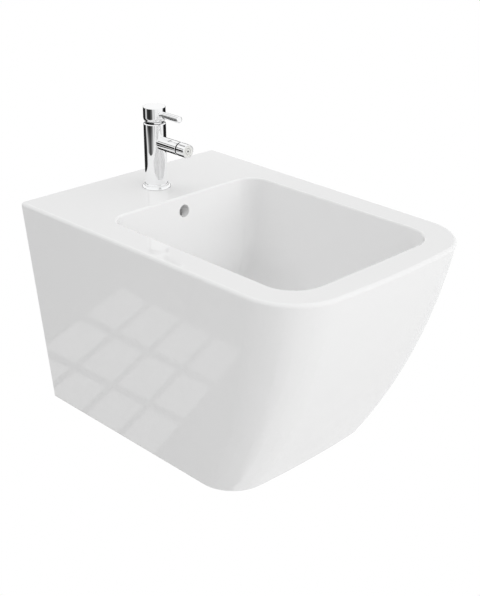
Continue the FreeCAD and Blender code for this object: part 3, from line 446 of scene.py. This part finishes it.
chinaRoom = {
    "rings": (
        {"stops": ((-180, 0.04), (-165, 0.05), (-120, 0.93), (75, 0.93), (85, 0.04), (180, 0.04))},
        {
            "from": (-26, -22),
            "stops": (
                (-180, 0.02),
                (-168, 0.05),
                (-140, 0.75),
                (-117, 0.9),
                (-45, 1.0),
                (70, 1.0),
                (90, 0.12),
                (110, 0.12),
                (127, 0.7),
                (142, 0.5),
                (155, 0.04),
                (180, 0.02),
            ),
        },
        {"from": (-7, 1), "stops": ((-180, 1.0), (180, 1.0))},
    ),
    "cards": ({"turn": (10, 75), "rise": (17, 28), "soft": 3.0, "grey": 0.65},),
}
chromeRoom = {
    "rings": (
        {"stops": ((-180, 0.04), (-165, 0.05), (-120, 0.95), (75, 0.95), (85, 0.04), (180, 0.04))},
        {
            "from": (-28, -25),
            "stops": (
                (-180, 0.06),
                (-170, 0.12),
                (-142, 0.84),
                (-120, 0.95),
                (-43, 1.0),
                (-28, 0.01),
                (132, 0.02),
                (142, 0.9),
                (148, 0.9),
                (158, 0.3),
                (175, 0.06),
                (180, 0.06),
            ),
        },
        {
            "from": (-17, -15.6),
            "stops": (
                (-180, 0.02),
                (-157, 0.1),
                (-143, 0.78),
                (-137, 0.78),
                (-132, 0.32),
                (-127, 0.88),
                (-43, 1.0),
                (-28, 0.01),
                (124, 0.02),
                (133, 0.82),
                (139, 0.85),
                (147, 0.2),
                (153, 0.04),
                (180, 0.02),
            ),
        },
        {
            "from": (-9, -5),
            "stops": ((-180, 1.0), (-45, 1.0), (-25, 0.02), (100, 0.02), (115, 0.9), (180, 1.0)),
        },
        {"from": (8, 12), "stops": ((-180, 1.0), (180, 1.0))},
    ),
    "cards": (
        {"turn": (120, 144), "rise": (-10, 9), "soft": 1.5, "grey": 0.005},
        {"turn": (117, 137), "rise": (18, 25), "soft": 2.0, "grey": 0.18},
        {"turn": (88, 102), "rise": (40.5, 44.5), "soft": 1.0, "grey": 0.45},
    ),
}


def addRing(tree, share, stops):
    # greys all round, each stop at its compass angle
    ramp = tree.nodes.new("ShaderNodeValToRGB")
    elements = ramp.color_ramp.elements
    while len(elements) < len(stops):
        elements.new(0.5)
    for element, (angle, grey) in zip(elements, stops):
        element.position = angle / 360.0 + 0.5
        element.color = (grey, grey, grey, 1.0)
    link(tree, share, ramp.inputs["Fac"])
    return ramp.outputs["Color"]


def addCard(tree, turn, rise, card):
    # 1 on the card, 0 off it
    share = 1.0
    soft = math.radians(card["soft"])
    for angle, span in ((turn, card["turn"]), (rise, card["rise"])):
        low, high = (math.radians(end) for end in span)
        away = addMath(tree, "ABSOLUTE", addMath(tree, "SUBTRACT", angle, (low + high) / 2), 0.0)
        half = (high - low) / 2
        share = addMath(tree, "MULTIPLY", addFade(tree, away, half + soft, half - soft), share)
    return share


def addRoom(tree, turn, rise, room):
    share = addMath(tree, "ADD", addMath(tree, "DIVIDE", turn, 2 * math.pi), 0.5)
    shown = None
    for ring in room["rings"]:
        greys = addRing(tree, share, ring["stops"])
        if shown is None:
            shown = greys
        else:
            start, end = (math.radians(angle) for angle in ring["from"])
            shown = addBlend(tree, addFade(tree, rise, start, end), shown, greys)
    for card in room["cards"]:
        grey = (card["grey"], card["grey"], card["grey"])
        shown = addBlend(tree, addCard(tree, turn, rise, card), shown, grey)
    return shown


def addGlow(tree, direction, glow):
    # soft round light, brightest at its middle
    near = addMath(tree, "MAXIMUM", addFacing(tree, direction, glow["towards"]), 0.0)
    return addMath(tree, "MULTIPLY", addMath(tree, "POWER", near, glow["power"]), glow["strength"])


def makeSky(spec):
    world = bpy.data.worlds.new("room")
    bpy.context.scene.world = world
    world.use_nodes = True
    tree = world.node_tree
    tree.nodes.clear()
    direction = tree.nodes.new("ShaderNodeTexCoord").outputs["Generated"]
    parts = tree.nodes.new("ShaderNodeSeparateXYZ")
    link(tree, direction, parts.inputs[0])
    level = 0.0
    for glow in spec["glows"]:
        level = addMath(tree, "ADD", addGlow(tree, direction, glow), level)
    turn = addMath(tree, "ARCTAN2", parts.outputs[1], parts.outputs[0])
    rise = addMath(tree, "ARCSINE", parts.outputs[2], 0.0)
    china = addRoom(tree, turn, rise, chinaRoom)
    chrome = addRoom(tree, turn, rise, chromeRoom)
    path = tree.nodes.new("ShaderNodeLightPath")
    # polished chrome mirrors sharply enough to count as singular, and glazed china doesn't
    mirror = addBlend(tree, path.outputs["Is Singular Ray"], china, chrome)
    shown = addBlend(tree, path.outputs["Is Glossy Ray"], level, mirror)
    shown = addBlend(tree, path.outputs["Is Camera Ray"], shown, (1.0, 1.0, 1.0))
    glow = tree.nodes.new("ShaderNodeBackground")
    link(tree, shown, glow.inputs["Color"])
    out = tree.nodes.new("ShaderNodeOutputWorld")
    link(tree, glow.outputs[0], out.inputs["Surface"])


makeSky(skySpec)

# Window that the left side mirrors faintly: panes between four corners, seen by shiny faces alone
windowSpec = {
    "topLeft": (-0.574, 0.372, -0.369),
    "topRight": (-0.691, 0.161, -0.524),
    "lowLeft": (-0.292, 0.471, -0.48),
    "lowRight": (-0.445, 0.212, -0.663),
    "columns": 4,
    "rows": 3,
    "gap": 0.08,
    "strength": 0.48,
}


def makeWindow(spec):
    corners = ("topLeft", "topRight", "lowLeft", "lowRight")
    topLeft, topRight, lowLeft, lowRight = (Vector(spec[corner]) for corner in corners)
    points, faces = [], []
    for column in range(spec["columns"]):
        for row in range(spec["rows"]):
            start = len(points)
            for i, j in ((0, 0), (1, 0), (1, 1), (0, 1)):
                along = (column + (1 - spec["gap"] if i else spec["gap"])) / spec["columns"]
                below = (row + (1 - spec["gap"] if j else spec["gap"])) / spec["rows"]
                top, low = topLeft.lerp(topRight, along), lowLeft.lerp(lowRight, along)
                points.append(top.lerp(low, below))
            faces.append((start, start + 1, start + 2, start + 3))
    mesh = bpy.data.meshes.new("windowPanes")
    mesh.from_pydata(points, [], faces)
    material, tree = newMaterial("windowLight")[:2]
    glow = tree.nodes.new("ShaderNodeEmission")
    glow.inputs["Strength"].default_value = spec["strength"]
    link(tree, glow.outputs[0], tree.nodes["Material Output"].inputs["Surface"])
    mesh.materials.append(material)
    panes = bpy.data.objects.new("windowPanes", mesh)
    bpy.context.scene.collection.objects.link(panes)
    panes.visible_camera = False
    panes.visible_diffuse = False
    panes.visible_transmission = False
    panes.visible_shadow = False


makeWindow(windowSpec)
print("stage 3: room")

# Camera at the photograph's viewing angle: angles in degrees, places in metres, lens and sensor in mm
cameraSpec = {
    "target": (-0.00103, -0.24899, -0.01875),
    "azimuth": -43.96,
    "elevation": 24.75,
    "roll": 0.11,
    "distance": 1.50008,
    "lens": 65.795,
    "sensor": 36.0,
}


def makeCamera(spec):
    data = bpy.data.cameras.new("camera")
    data.lens = spec["lens"]
    data.sensor_width = spec["sensor"]
    camera = bpy.data.objects.new("camera", data)
    bpy.context.scene.collection.objects.link(camera)
    turn, rise, roll = (math.radians(spec[key]) for key in ("azimuth", "elevation", "roll"))
    back = Vector((math.sin(turn) * math.cos(rise), -math.cos(turn) * math.cos(rise), math.sin(rise)))
    right = Vector((0, 0, 1)).cross(back).normalized()
    up = back.cross(right)
    axes = Matrix((right, up, back)).transposed().to_4x4() @ Matrix.Rotation(roll, 4, "Z")
    camera.matrix_world = Matrix.Translation(Vector(spec["target"]) + back * spec["distance"]) @ axes
    bpy.context.scene.camera = camera


makeCamera(cameraSpec)
bpy.context.scene.view_settings.view_transform = "Standard"
print("stage 4: camera")
